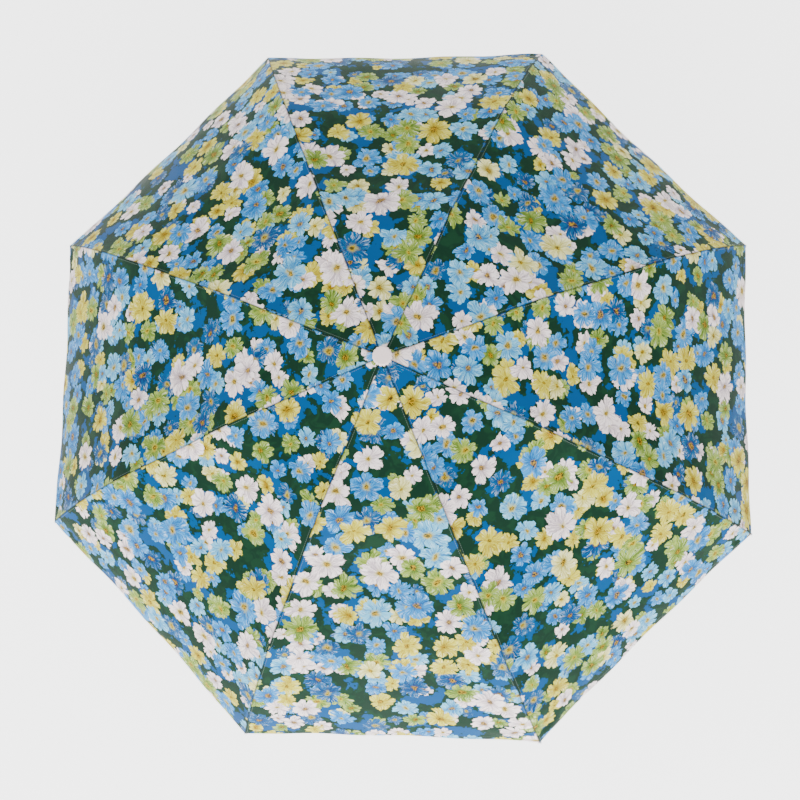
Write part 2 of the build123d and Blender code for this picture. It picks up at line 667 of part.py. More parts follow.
rib_pieces = {
    "inner_rib": make_inner_rib(),
    "stretcher": make_stretcher(),
    "middle_rib": make_middle_rib(),
    "outer_rib": make_outer_rib(),
    "fold_link": make_link(LINK_TOP, LINK_FOOT, INNER_SLOPE, -LINK_LANE - LINK_THICKNESS,
                           LINK_THICKNESS + LINK_GAP + RIB_SHEET),
    "fold_wire": make_link(WIRE_START, WIRE_END, MIDDLE_SLOPE, LINK_LANE,
                           LINK_THICKNESS + LINK_GAP + FORK_WIDTH / 2 + RIB_WIDTH / 2),
}
for piece_name, piece in rib_pieces.items():
    for index in range(RIB_COUNT):
        rib_copy = placed(piece, index)
        rib_copy.label = f"{piece_name}_{index + 1}"
        export_step(rib_copy, f"parts/{rib_copy.label}.step")

gore = make_gore()
gores = [gore.rotate(Axis.Z, index * 360 / RIB_COUNT).solid() for index in range(RIB_COUNT)]
canopy_cloth = Compound(children=gores + [make_strap().solid()])
canopy_cloth.label = "canopy"
export_step(canopy_cloth, "parts/canopy.step")

top_tube = make_tube(TOP_TUBE_BOTTOM, TOP_TUBE_TOP, TOP_TUBE_RADIUS)
with top_tube:
    cut_catch_slot()
top_tube.part.label = "top_tube"
middle_tube = make_tube(MIDDLE_TUBE_BOTTOM, TOP_TUBE_BOTTOM + TUBE_OVERLAP, MIDDLE_TUBE_RADIUS)
middle_tube.part.label = "middle_tube"
lower_tube = make_tube(GRIP_TOP - TUBE_SEAT_DEPTH, MIDDLE_TUBE_BOTTOM + TUBE_OVERLAP, LOWER_TUBE_RADIUS)
lower_tube.part.label = "lower_tube"
crown_ring = make_ring(CROWN_Z, open_slots=False)
crown_ring.part.label = "crown_ring"
runner_ring = make_ring(RUNNER_Z, open_slots=True)
runner_ring.part.label = "runner_ring"
runner_catch = make_catch()
runner_catch.part.label = "runner_catch"

shaft_pieces = [top_tube, middle_tube, lower_tube, make_crown(), crown_ring, make_runner(), runner_ring,
                runner_catch, make_grip(), make_end_cap(), make_finial_cap()]
for shaft_piece in shaft_pieces:
    export_step(shaft_piece.part, f"parts/{shaft_piece.part.label}.step")
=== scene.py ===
"""Looks of the open folding umbrella: printed canopy, metal frame and moulded handle.

The canopy is one sheet of eight gores that the rib bodies carry as they fold.
"""
import json
from math import atan2, cos, exp, hypot, pi, radians, sin, tau

import bpy
from mathutils import Matrix, Vector

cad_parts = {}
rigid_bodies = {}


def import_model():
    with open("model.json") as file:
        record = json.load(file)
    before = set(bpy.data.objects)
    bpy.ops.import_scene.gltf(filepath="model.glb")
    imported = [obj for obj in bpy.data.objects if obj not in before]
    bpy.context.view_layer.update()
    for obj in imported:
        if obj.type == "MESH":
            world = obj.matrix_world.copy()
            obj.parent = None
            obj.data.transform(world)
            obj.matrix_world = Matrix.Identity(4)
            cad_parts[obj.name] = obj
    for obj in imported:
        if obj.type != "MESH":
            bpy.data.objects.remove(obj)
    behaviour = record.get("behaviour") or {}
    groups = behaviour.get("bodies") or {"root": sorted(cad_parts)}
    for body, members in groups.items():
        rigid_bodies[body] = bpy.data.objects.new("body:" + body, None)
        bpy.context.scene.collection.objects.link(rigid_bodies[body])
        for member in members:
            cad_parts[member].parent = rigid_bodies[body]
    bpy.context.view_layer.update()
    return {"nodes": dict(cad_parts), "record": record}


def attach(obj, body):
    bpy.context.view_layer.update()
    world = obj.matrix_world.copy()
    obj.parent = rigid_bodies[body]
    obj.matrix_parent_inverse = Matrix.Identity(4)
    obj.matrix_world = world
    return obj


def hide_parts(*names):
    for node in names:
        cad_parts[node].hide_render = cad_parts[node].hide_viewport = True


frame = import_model()

MM = 0.001
RIB_COUNT = 8
JOINTS = {joint["name"]: joint for joint in frame["record"]["behaviour"]["joints"]}


def rib_point(joint_name):
    """A rib joint's distance from the shaft and its height."""
    x, y, z = JOINTS[joint_name]["pos_m"]
    return Vector((hypot(x, y), z))


CROWN_PIVOT = rib_point("inner_rib_1_hinge")
INNER_JOINT = rib_point("middle_rib_1_hinge")
OUTER_JOINT = rib_point("outer_rib_1_hinge")
CROWN_TOP = CROWN_PIVOT.y + 5.0 * MM

# The outer ribs bend along an arc that starts over their joint.
OUTER_SLOPE = radians(30)
OUTER_BEND = radians(25)
ARC_RADIUS = 427.2 * MM
ARC_TOP = OUTER_JOINT + Vector((2.4, 4.2)) * MM
ARC_HUB = ARC_TOP - Vector((sin(OUTER_SLOPE), cos(OUTER_SLOPE))) * ARC_RADIUS


# ------------------------------------------------------------------ shared helpers
def smooth(low, high, value):
    """0 below low, 1 above high and a soft step between them."""
    share = min(1.0, max(0.0, (value - low) / (high - low)))
    return share * share * (3 - 2 * share)


def deselect_all():
    bpy.ops.object.select_all(action="DESELECT")


def add_grid(name, columns, rows):
    """A flat grid of faces; its corners' x and y run from 0 to 1."""
    deselect_all()
    bpy.ops.mesh.primitive_grid_add(x_subdivisions=columns, y_subdivisions=rows, size=1,
                                    location=(0.5, 0.5, 0))
    bpy.ops.object.transform_apply(location=True, rotation=True, scale=True)
    grid = bpy.context.object
    grid.name = name
    return grid


def cloth_maps(mesh):
    """The two maps of a cloth piece: its place in the print, and its distances to seam and hem."""
    mesh.uv_layers[0].name = "print"
    mesh.uv_layers.new(name="edges")
    return mesh.uv_layers["print"].data, mesh.uv_layers["edges"].data


def weigh(piece, index, shares):
    """Gives one corner of a piece its share of each body."""
    for body, share in shares.items():
        group = piece.vertex_groups.get(body) or piece.vertex_groups.new(name=body)
        group.add([index], share, "REPLACE")


def join_pieces(pieces):
    """Joins pieces into the first of them."""
    deselect_all()
    for piece in pieces:
        piece.select_set(True)
    bpy.context.view_layer.objects.active = pieces[0]
    bpy.ops.object.join()
    return pieces[0]


def thicken(piece, thickness, offset):
    """Gives a sheet its thickness; offset 1 puts it all behind the outer side, 0 half on each."""
    thick = piece.modifiers.new("thickness", "SOLIDIFY")
    thick.thickness = thickness
    thick.offset = offset
    thick.use_even_offset = False
    return thick


# ------------------------------------------------------------------ canopy shape
CLOTH_HOLE = 4.0 * MM
CLOTH_THICKNESS = 0.35 * MM
COLUMNS = 32
ROWS = 110
CURVE_DETAIL = 40


def arc_point(share, radius):
    """A place over or along an outer rib, in the rib's plane; share runs from its joint to its tip."""
    angle = pi / 2 - OUTER_SLOPE - OUTER_BEND * share
    return ARC_HUB + Vector((cos(angle), sin(angle))) * radius


def seam_points():
    """Places that a seam passes over, from the hub to the hem, as (reach, height)."""
    rib_start = CROWN_PIVOT + Vector((0.6, 2.3)) * MM
    rib_end = INNER_JOINT + Vector((-1.0, 0.6)) * MM
    mid_start = INNER_JOINT + Vector((0.0, 0.7)) * MM
    points = [
        Vector((CLOTH_HOLE, CROWN_TOP + 0.45 * MM)),
        Vector((14.8 * MM, CROWN_TOP + 0.35 * MM)),
        rib_start.lerp(rib_end, 0.33),
        rib_start.lerp(rib_end, 0.70),
        INNER_JOINT + Vector((0.9, 2.6)) * MM,
        mid_start.lerp(OUTER_JOINT + Vector((1.5, 3.4)) * MM, 0.5),
    ]
    return points + [arc_point(share, ARC_RADIUS) for share in (0, 0.25, 0.5, 0.75, 1)]


def curve_through(points, steps):
    """A smooth line through the points, as many short steps of equal length."""
    ends = [points[0] * 2 - points[1]] + points + [points[-1] * 2 - points[-2]]
    fine = []
    for before, start, end, after in zip(ends, ends[1:], ends[2:], ends[3:]):
        knots = [0.0]
        for first, second in ((before, start), (start, end), (end, after)):
            knots.append(knots[-1] + (second - first).length ** 0.5)
        t0, t1, t2, t3 = knots
        for step in range(CURVE_DETAIL):
            t = t1 + (t2 - t1) * step / CURVE_DETAIL
            a1 = before.lerp(start, (t - t0) / (t1 - t0))
            a2 = start.lerp(end, (t - t1) / (t2 - t1))
            a3 = end.lerp(after, (t - t2) / (t3 - t2))
            b1 = a1.lerp(a2, (t - t0) / (t2 - t0))
            b2 = a2.lerp(a3, (t - t1) / (t3 - t1))
            fine.append(b1.lerp(b2, (t - t1) / (t2 - t1)))
    fine.append(points[-1])
    lengths = [0.0]
    for first, second in zip(fine, fine[1:]):
        lengths.append(lengths[-1] + (second - first).length)
    even, place = [], 0
    for step in range(steps + 1):
        want = lengths[-1] * step / steps
        while place < len(fine) - 2 and lengths[place + 1] < want:
            place += 1
        share = (want - lengths[place]) / (lengths[place + 1] - lengths[place])
        even.append(fine[place].lerp(fine[place + 1], share))
    return even, lengths[-1]


def nearest_share(line, point):
    """How far along the line the nearest place to a point is, from 0 to 1."""
    gaps = [(place - point).length for place in line]
    return gaps.index(min(gaps)) / (len(line) - 1)


SEAM, SEAM_LENGTH = curve_through(seam_points(), ROWS)
INNER_SHARE = nearest_share(SEAM, INNER_JOINT)
OUTER_SHARE = nearest_share(SEAM, OUTER_JOINT)
HUB_BLEND = (14 * MM, 34 * MM)
JOINT_BLEND = 6 * MM / SEAM_LENGTH
SEAM_STRIP = 3.9 * MM


def seam_at(share):
    """The seam's place at a share of its length."""
    place = min(share * ROWS, ROWS - 1e-6)
    row = int(place)
    return SEAM[row].lerp(SEAM[row + 1], place - row)


def seam_normal(share):
    """The upward normal of the seam, in its own plane."""
    ahead = seam_at(min(1.0, share + 0.01)) - seam_at(max(0.0, share - 0.01))
    ahead.normalize()
    return Vector((-ahead.y, ahead.x))


HEM_HOLLOW = 2.0 * MM
GORE_SAG = 0.034
FOLD_DEPTH = 1.5 * MM
FOLD_REACH = 85 * MM
FOLDS_PER_RADIAN = 7.0
HEM_WAVE = 0.9 * MM
HEM_WAVE_COUNT = 3


def canopy_point(gore, across, along):
    """A point of the cloth; across runs 0 to 1 between two ribs, along 0 to 1 from hub to hem."""
    belly = 4 * across * (1 - across)
    share = along * (1 - HEM_HOLLOW / SEAM_LENGTH * belly * along**3)
    place = seam_at(share)
    first = (gore + 0.5) * tau / RIB_COUNT
    middle = first + pi / RIB_COUNT
    half_width = place.x * sin(pi / RIB_COUNT)
    sideways = (2 * across - 1) * half_width
    reach = place.x * cos(pi / RIB_COUNT)
    normal = seam_normal(share)
    from_hub = smooth(0.02, 0.5, along)
    to_hem = 1 - 0.8 * smooth(0.70, 1.0, along)
    sag = GORE_SAG * 2 * half_width * belly * from_hub * to_hem
    lift = -sag + small_folds(gore, across, along, half_width)
    reach += normal.x * lift
    height = place.y + normal.y * lift
    out = Vector((cos(middle), sin(middle)))
    side = Vector((-sin(middle), cos(middle)))
    flat = out * reach + side * sideways
    return Vector((flat.x, flat.y, height))


def small_folds(gore, across, along, half_width):
    """Pull lines that leave each tip, and the slight waves of the hem."""
    from_hem = (1 - along) * SEAM_LENGTH
    lift = 0.0
    for side, distance in ((0, across), (1, 1 - across)):
        from_seam = distance * 2 * half_width
        away = hypot(from_seam, from_hem)
        angle = atan2(from_hem, from_seam + 1e-6)
        strength = 0.6 + 0.4 * sin(gore * 2.3 + side * 1.7)
        fade = exp(-((away / FOLD_REACH) ** 2)) * smooth(0, 10 * MM, from_seam)
        lift += FOLD_DEPTH * strength * fade * sin(angle * FOLDS_PER_RADIAN + gore * 1.9 + side)
    wave = sin(across * tau * HEM_WAVE_COUNT + gore * 1.3)
    wave *= smooth(0, 0.18, across) * smooth(0, 0.18, 1 - across)
    lift += HEM_WAVE * wave * smooth(0.80, 1.0, along)
    return lift


def gore_width(along):
    """A gore's width between its seams."""
    return 2 * seam_at(along).x * sin(pi / RIB_COUNT)


def seam_strip(along):
    """The strip along a seam that lies flat over its rib, as a share of the gore's width."""
    return min(SEAM_STRIP / gore_width(along), 1 / COLUMNS)


def spread_column(column, along):
    """Moves the first and last columns of a gore's grid to the edges of the seam strips."""
    strip, step = seam_strip(along), 1 / COLUMNS
    if column < step / 2:
        return 0.0
    if column > 1 - step / 2:
        return 1.0
    return strip + (column - step) / (1 - 2 * step) * (1 - 2 * strip)


def rib_shares(gore, across, along):
    """How much each body carries the cloth at a place, most for the nearer rib."""
    strip = seam_strip(along)
    across = min(1.0, max(0.0, (across - strip) / (1 - 2 * strip)))
    off_hub = smooth(*HUB_BLEND, along * SEAM_LENGTH)
    past_inner = smooth(INNER_SHARE - JOINT_BLEND, INNER_SHARE + JOINT_BLEND, along)
    past_outer = smooth(OUTER_SHARE - JOINT_BLEND, OUTER_SHARE + JOINT_BLEND, along)
    shares = {"canopy_head": 1 - off_hub}
    for rib, nearness in ((gore + 1, 1 - across), ((gore + 1) % RIB_COUNT + 1, across)):
        shares[f"inner_rib_{rib}"] = nearness * off_hub * (1 - past_inner)
        shares[f"middle_rib_{rib}"] = nearness * off_hub * past_inner * (1 - past_outer)
        shares[f"outer_rib_{rib}"] = nearness * off_hub * past_outer
    return {body: share for body, share in shares.items() if share > 0}


GORE_PRINT_STEP = Vector((1.37, 0.713))
PRINT_START = 0.3
SHARP_EDGE = 1e-4
JOIN_WITHIN = 0.05 * MM


def make_gore(gore):
    """One gore: a grid bent to the canopy's shape, with its print and edge distances."""
    piece = add_grid(f"gore_{gore + 1}", COLUMNS, ROWS)
    mesh = piece.data
    places = [(spread_column(corner.co.x, corner.co.y), corner.co.y) for corner in mesh.vertices]
    print_map, edge_map = cloth_maps(mesh)
    for loop in mesh.loops:
        across, along = places[loop.vertex_index]
        width = gore_width(along)
        down = along * SEAM_LENGTH
        from_centre = (across - 0.5) * width + PRINT_START
        print_map[loop.index].uv = (from_centre + gore * GORE_PRINT_STEP.x, down + gore * GORE_PRINT_STEP.y)
        edge_map[loop.index].uv = (min(across, 1 - across) * width, SEAM_LENGTH - down)
    for edge in mesh.edges:
        sides = [places[corner][0] for corner in edge.vertices]
        edge.use_edge_sharp = max(sides) < SHARP_EDGE or min(sides) > 1 - SHARP_EDGE
    for index, (across, along) in enumerate(places):
        mesh.vertices[index].co = canopy_point(gore, across, along)
        weigh(piece, index, rib_shares(gore, across, along))
    return piece


def make_canopy():
    """The whole canopy as one sheet: eight gores joined along their seams."""
    canopy = join_pieces([make_gore(gore) for gore in range(RIB_COUNT)])
    canopy.name = canopy.data.name = "canopy_cloth"
    bpy.ops.object.mode_set(mode="EDIT")
    bpy.ops.mesh.select_all(action="SELECT")
    bpy.ops.mesh.remove_doubles(threshold=JOIN_WITHIN)
    bpy.ops.mesh.normals_make_consistent(inside=False)
    bpy.ops.object.mode_set(mode="OBJECT")
    bpy.ops.object.shade_smooth()
    return canopy


# ------------------------------------------------------------------ closing strap
STRAP_LENGTH = 60 * MM
STRAP_WIDTH = 18 * MM
STRAP_THICKNESS = 0.6 * MM
STRAP_GORE = 7
STRAP_SET_IN = 4 * MM
STRAP_CLEARANCE = 1.3 * MM
STRAP_DROOP = 6.0 * MM
STRAP_CURL = 0.8 * MM
STRAP_GRID = (8, 24)
SNAP_RADIUS = 5 * MM
SNAP_HEIGHT = 1.6 * MM
SNAP_ALONG = 0.86


def strap_point(across, along):
    """A point of the closing strap, which hangs a little off the cloth towards its free end."""
    share = 1 - (STRAP_SET_IN + along * STRAP_LENGTH) / SEAM_LENGTH
    centre = canopy_point(STRAP_GORE, 0.5, share)
    ahead = canopy_point(STRAP_GORE, 0.5, share - 0.01) - canopy_point(STRAP_GORE, 0.5, share + 0.01)
    inward = Vector((-ahead.z, 0, ahead.x)).normalized()
    if inward.z > 0:
        inward.negate()
    gap = STRAP_CLEARANCE + STRAP_DROOP * along**2
    curl = STRAP_CURL * (2 * across - 1) ** 2 * along
    return centre + inward * (gap + curl) + Vector((0, (across - 0.5) * STRAP_WIDTH, 0)), share


def make_strap():
    """The closing strap, sewn under the hem in the middle of one gore."""
    strap = add_grid("closing_strap", *STRAP_GRID)
    mesh = strap.data
    places = [(corner.co.x, corner.co.y) for corner in mesh.vertices]
    print_map, edge_map = cloth_maps(mesh)
    for loop in mesh.loops:
        across, along = places[loop.vertex_index]
        print_map[loop.index].uv = (across * STRAP_WIDTH + 5.1, along * STRAP_LENGTH + 3.3)
        edge_map[loop.index].uv = (min(across, 1 - across) * STRAP_WIDTH, (1 - along) * STRAP_LENGTH)
    for index, (across, along) in enumerate(places):
        mesh.vertices[index].co, share = strap_point(across, along)
        weigh(strap, index, rib_shares(STRAP_GORE, 0.5, share))
    bpy.ops.object.shade_smooth()
    return strap


def make_snap():
    """A domed press stud near the strap's free end."""
    place, share = strap_point(0.5, SNAP_ALONG)
    before, _ = strap_point(0.5, SNAP_ALONG - 0.06)
    slope = atan2(place.z - before.z, before.x - place.x)
    deselect_all()
    bpy.ops.mesh.primitive_cylinder_add(vertices=32, radius=SNAP_RADIUS, depth=SNAP_HEIGHT, location=place,
                                        rotation=(0, slope, 0))
    bpy.ops.object.transform_apply(location=True, rotation=True, scale=True)
    snap = bpy.context.object
    snap.name = "strap_snap"
    bpy.ops.object.mode_set(mode="EDIT")
    bpy.ops.mesh.select_mode(type="FACE")
    bpy.ops.mesh.select_all(action="DESELECT")
    bpy.ops.object.mode_set(mode="OBJECT")
    for polygon in snap.data.polygons:
        polygon.select = len(polygon.vertices) > 4
    bpy.ops.object.mode_set(mode="EDIT")
    bpy.ops.mesh.inset(thickness=1.4 * MM, depth=0.5 * MM)
    bpy.ops.mesh.inset(thickness=1.2 * MM, depth=-0.4 * MM)
    bpy.ops.object.mode_set(mode="OBJECT")
    for index in range(len(snap.data.vertices)):
        weigh(snap, index, rib_shares(STRAP_GORE, 0.5, share))
    bpy.ops.object.shade_smooth_by_angle(angle=radians(35))
    return snap


# ------------------------------------------------------------------ thread ties
TIE_PLACES = (0.34, 0.78)
TIE_RADIUS = 2.35 * MM
THREAD_RADIUS = 0.42 * MM
RIB_BELOW_SEAM = 3.2 * MM
TIE_LIFT = 0.5 * MM


def make_ties(rib):
    """Two thread loops that tie the cloth's seam to an outer rib."""
    turn = (rib - 0.5) * tau / RIB_COUNT
    loops = []
    for share in TIE_PLACES:
        place = arc_point(share, ARC_RADIUS - RIB_BELOW_SEAM)
        slope = OUTER_SLOPE + OUTER_BEND * share
        deselect_all()
        bpy.ops.mesh.primitive_torus_add(
            major_radius=TIE_RADIUS, minor_radius=THREAD_RADIUS, major_segments=28, minor_segments=8,
            location=(place.x * cos(turn), place.x * sin(turn), place.y + TIE_LIFT),
            rotation=(0, pi / 2 + slope, turn),
        )
        bpy.ops.object.transform_apply(location=True, rotation=True, scale=True)
        loops.append(bpy.context.object)
    ties = join_pieces(loops)
    ties.name = f"thread_ties_{rib}"
    bpy.ops.object.shade_smooth()
    return ties


# ------------------------------------------------------------------ folding with the ribs
def make_carrier():
    """Bones that follow the hub and rib bodies, for the cloth to fold with."""
    data = bpy.data.armatures.new("canopy_carrier")
    carrier = bpy.data.objects.new("canopy_carrier", data)
    bpy.context.collection.objects.link(carrier)
    bodies = ["canopy_head"]
    for rib in range(1, RIB_COUNT + 1):
        bodies += [f"inner_rib_{rib}", f"middle_rib_{rib}", f"outer_rib_{rib}"]
    deselect_all()
    bpy.context.view_layer.objects.active = carrier
    bpy.ops.object.mode_set(mode="EDIT")
    for body in bodies:
        bone = data.edit_bones.new(body)
        bone.head = (0, 0, 0)
        bone.tail = (0, 1, 0)
        bone.roll = 0
    bpy.ops.object.mode_set(mode="OBJECT")
    for body in bodies:
        follow = carrier.pose.bones[body].constraints.new("COPY_TRANSFORMS")
        follow.target = bpy.data.objects["body:" + body]
    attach(carrier, "canopy_head")
    return carrier


def carry(piece, carrier):
    """A cloth piece folds with the ribs."""
    bend = piece.modifiers.new("ribs", "ARMATURE")
    bend.object = carrier
    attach(piece, "canopy_head")


# ------------------------------------------------------------------ node helpers
class Nodes:
    """Adds shader nodes to a tree and joins them."""

    def __init__(self, tree):
        self.tree = tree

    def new(self, kind, inputs=None, **settings):
        node = self.tree.nodes.new(kind)
        for name, value in settings.items():
            setattr(node, name, value)
        for key, value in (inputs or {}).items():
            self.put(node.inputs[key], value)
        return node

    def put(self, socket, value):
        if isinstance(value, bpy.types.NodeSocket):
            self.tree.links.new(value, socket)
        else:
            socket.default_value = value

    def math(self, operation, first, second=0.0, third=0.0):
        node = self.new("ShaderNodeMath", operation=operation)
        for socket, value in zip(node.inputs, (first, second, third)):
            self.put(socket, value)
        return node.outputs[0]

    def vector(self, operation, first, second=(0, 0, 0)):
        node = self.new("ShaderNodeVectorMath", operation=operation)
        self.put(node.inputs[0], first)
        self.put(node.inputs[1], second)
        return node.outputs[0]

    def mix(self, share, first, second):
        node = self.new("ShaderNodeMix", data_type="RGBA")
        self.put(node.inputs[0], share)
        self.put(node.inputs[6], first)
        self.put(node.inputs[7], second)
        return node.outputs[2]

    def ramp_step(self, value, low, high, bottom=0.0, top=1.0):
        node = self.new("ShaderNodeMapRange", interpolation_type="SMOOTHSTEP")
        for key, number in (("Value", value), ("From Min", low), ("From Max", high)):
            self.put(node.inputs[key], number)
        self.put(node.inputs["To Min"], bottom)
        self.put(node.inputs["To Max"], top)
        return node.outputs[0]

    def colours(self, value, stops):
        node = self.new("ShaderNodeValToRGB")
        ramp = node.color_ramp
        ramp.interpolation = "CONSTANT"
        while len(ramp.elements) < len(stops):
            ramp.elements.new(1.0)
        for element, (place, colour) in zip(ramp.elements, stops):
            element.position = place
            element.color = (*colour, 1)
        self.put(node.inputs[0], value)
        return node.outputs[0]


def new_group(name, inputs, outputs):
    """An empty shader group with its sockets, and its input and output nodes."""
    group = bpy.data.node_groups.new(name, "ShaderNodeTree")
    kinds = {"vector": "NodeSocketVector", "float": "NodeSocketFloat", "colour": "NodeSocketColor"}
    for socket, kind in inputs:
        group.interface.new_socket(socket, in_out="INPUT", socket_type=kinds[kind])
    for socket, kind in outputs:
        group.interface.new_socket(socket, in_out="OUTPUT", socket_type=kinds[kind])
    nodes = Nodes(group)
    return group, nodes, nodes.new("NodeGroupInput"), nodes.new("NodeGroupOutput")


def new_material(name):
    """A material with its node helper and its Principled shader."""
    material = bpy.data.materials.new(name)
    material.use_nodes = True
    shader = material.node_tree.nodes["Principled BSDF"]
    return material, Nodes(material.node_tree), shader


# ------------------------------------------------------------------ flower print
PINK_WHITE = (0.80, 0.70, 0.69)
CREAM = (0.66, 0.64, 0.28)
LIGHT_BLUE = (0.025, 0.24, 0.54)
PALE_BLUE = (0.13, 0.42, 0.60)
MID_BLUE = (0.002, 0.092, 0.235)
YELLOW = (0.52, 0.48, 0.05)
YELLOW_GREEN = (0.24, 0.33, 0.055)
GROUND_GREEN = (0.0035, 0.022, 0.011)
LEAF_GREEN = (0.005, 0.032, 0.014)
GROUND_BLUE = (0.0003, 0.055, 0.175)
GOLD = (0.36, 0.21, 0.004)
BROWN = (0.010, 0.004, 0.002)
PETAL_GLINT = (0.80, 0.82, 0.84)
# Where each petal colour starts in the draw, the colour, and its shade towards the middle.
PETAL_COLOURS = [
    (0.00, PINK_WHITE, (0.34, 0.28, 0.31)),
    (0.18, LIGHT_BLUE, (0.003, 0.075, 0.24)),
    (0.42, PALE_BLUE, (0.010, 0.13, 0.32)),
    (0.54, MID_BLUE, (0.001, 0.022, 0.10)),
    (0.64, YELLOW, (0.25, 0.18, 0.008)),
    (0.79, YELLOW_GREEN, (0.050, 0.105, 0.010)),
    (0.96, CREAM, (0.30, 0.27, 0.05)),
]


# Each scatter's cell size in metres, petal reach as a share of it, share of cells with a flower,
# shift through the colours and shift of the pattern.
FLOWER_LAYERS = [
    (0.030, 0.50, 0.70, 0.36, (0.231, 0.117, 0)),
    (0.038, 0.53, 0.95, 0.62, (0.017, 0.009, 0)),
    (0.046, 0.46, 0.46, 0.05, (0.563, 0.371, 0)),
    (0.056, 0.42, 0.42, 0.88, (1.377, 1.113, 0)),
]


def flower_layer_group():
    """One scatter of flowers: each cell holds a flower of its own turn, size and petal count."""
    group, n, source, sink = new_group(
        "flower_layer",
        [("Place", "vector"), ("Cell", "float"), ("Reach", "float"), ("Density", "float"),
         ("Tint", "float")],
        [("Colour", "colour"), ("Mask", "float")],
    )
    place = source.outputs["Place"]
    for scale, amount in ((62.0, 0.013), (260.0, 0.0034)):
        wobble = n.new("ShaderNodeTexNoise", {"Vector": place, "Scale": scale, "Detail": 2.0})
        shake = n.vector("SUBTRACT", wobble.outputs["Color"], (0.5, 0.5, 0.5))
        place = n.vector("ADD", place, n.vector("MULTIPLY", shake, (amount, amount, 0)))
    scaled = n.new("ShaderNodeVectorMath", {0: place}, operation="SCALE")
    n.put(scaled.inputs["Scale"], n.math("DIVIDE", 1.0, source.outputs["Cell"]))
    cells = n.new("ShaderNodeTexVoronoi", {"Vector": scaled.outputs[0], "Scale": 1.0, "Randomness": 0.62},
                  voronoi_dimensions="2D")
    local = n.vector("SUBTRACT", scaled.outputs[0], cells.outputs["Position"])
    split = n.new("ShaderNodeSeparateXYZ", {0: local})
    chance = n.new("ShaderNodeSeparateColor", {0: cells.outputs["Color"]})
    red, green, blue = chance.outputs
    away = n.math("SQRT", n.math("ADD", n.math("POWER", split.outputs[0], 2.0),
                                 n.math("POWER", split.outputs[1], 2.0)))
    turn = n.math("ADD", n.math("ARCTAN2", split.outputs[1], split.outputs[0]),
                  n.math("MULTIPLY", red, tau))
    # petals, each a little longer or shorter than the next
    petals = n.math("FLOOR", n.math("MULTIPLY_ADD", green, 2.7, 5.0))
    around = n.math("MULTIPLY", turn, n.math("DIVIDE", petals, tau))
    petal = n.math("FLOORED_MODULO", n.math("ROUND", around), petals)
    own = n.new("ShaderNodeTexWhiteNoise", {"W": n.math("MULTIPLY_ADD", red, 57.0, petal)},
                noise_dimensions="1D")
    lobe = n.math("ABSOLUTE", n.math("COSINE", n.math("MULTIPLY", around, pi)))
    size = n.math("MULTIPLY", source.outputs["Reach"], n.math("MULTIPLY_ADD", blue, -0.30, 1.0))
    length = n.math("MULTIPLY_ADD", own.outputs["Value"], 0.30, 0.80)
    notch = n.math("MULTIPLY_ADD", n.math("POWER", lobe, 18.0), -0.12, 1.0)
    edge = n.math("MULTIPLY", n.math("MULTIPLY_ADD", n.math("POWER", lobe, 0.38), 0.58, 0.42), notch)
    edge = n.math("MULTIPLY", n.math("MULTIPLY", edge, length), size)
    rays = n.new("ShaderNodeCombineXYZ", {
        0: n.math("MULTIPLY", n.math("COSINE", turn), 9.0),
        1: n.math("MULTIPLY", n.math("SINE", turn), 9.0),
        2: n.math("MULTIPLY_ADD", away, 2.5, n.math("MULTIPLY", red, 40.0)),
    })
    streak = n.new("ShaderNodeTexNoise", {"Vector": rays.outputs[0], "Scale": 1.5, "Detail": 3.0,
                                          "Roughness": 0.65})
    edge = n.math("MULTIPLY", edge, n.math("MULTIPLY_ADD", streak.outputs["Fac"], 0.34, 0.83))
    mask = n.ramp_step(n.math("SUBTRACT", edge, away), 0.0, 0.012)
    dice = n.math("FRACT", n.math("MULTIPLY_ADD", red, 7.31, n.math("MULTIPLY", blue, 3.7)))
    mask = n.math("MULTIPLY", mask, n.math("LESS_THAN", dice, source.outputs["Density"]))
    # petal colour, painted in strokes from the middle outwards
    pick = n.math("FRACT", n.math("ADD", n.math("MULTIPLY_ADD", green, 5.17, blue), source.outputs["Tint"]))
    light = n.colours(pick, [(start, colour) for start, colour, shade in PETAL_COLOURS])
    deep = n.colours(pick, [(start, shade) for start, colour, shade in PETAL_COLOURS])
    outward = n.math("DIVIDE", away, n.math("MAXIMUM", edge, 0.01))
    shade = n.math("MULTIPLY_ADD", outward, -0.55, 0.62)
    shade = n.math("ADD", shade, n.math("MULTIPLY_ADD", streak.outputs["Fac"], 3.4, -1.74))
    shade = n.math("ADD", shade, n.math("MULTIPLY_ADD", own.outputs["Value"], 0.3, -0.12))
    gap = n.math("MULTIPLY", n.ramp_step(lobe, 0.36, 0.06), n.ramp_step(outward, 1.0, 0.45, 0.25, 0.8))
    shade = n.math("ADD", shade, gap)
    petal_colour = n.mix(n.ramp_step(shade, 0.0, 0.85), light, deep)
    glint = n.math("MULTIPLY", n.ramp_step(streak.outputs["Fac"], 0.46, 0.36),
                   n.ramp_step(outward, 0.45, 0.85))
    petal_colour = n.mix(n.math("MULTIPLY", glint, 0.45), petal_colour, (*PETAL_GLINT, 1))
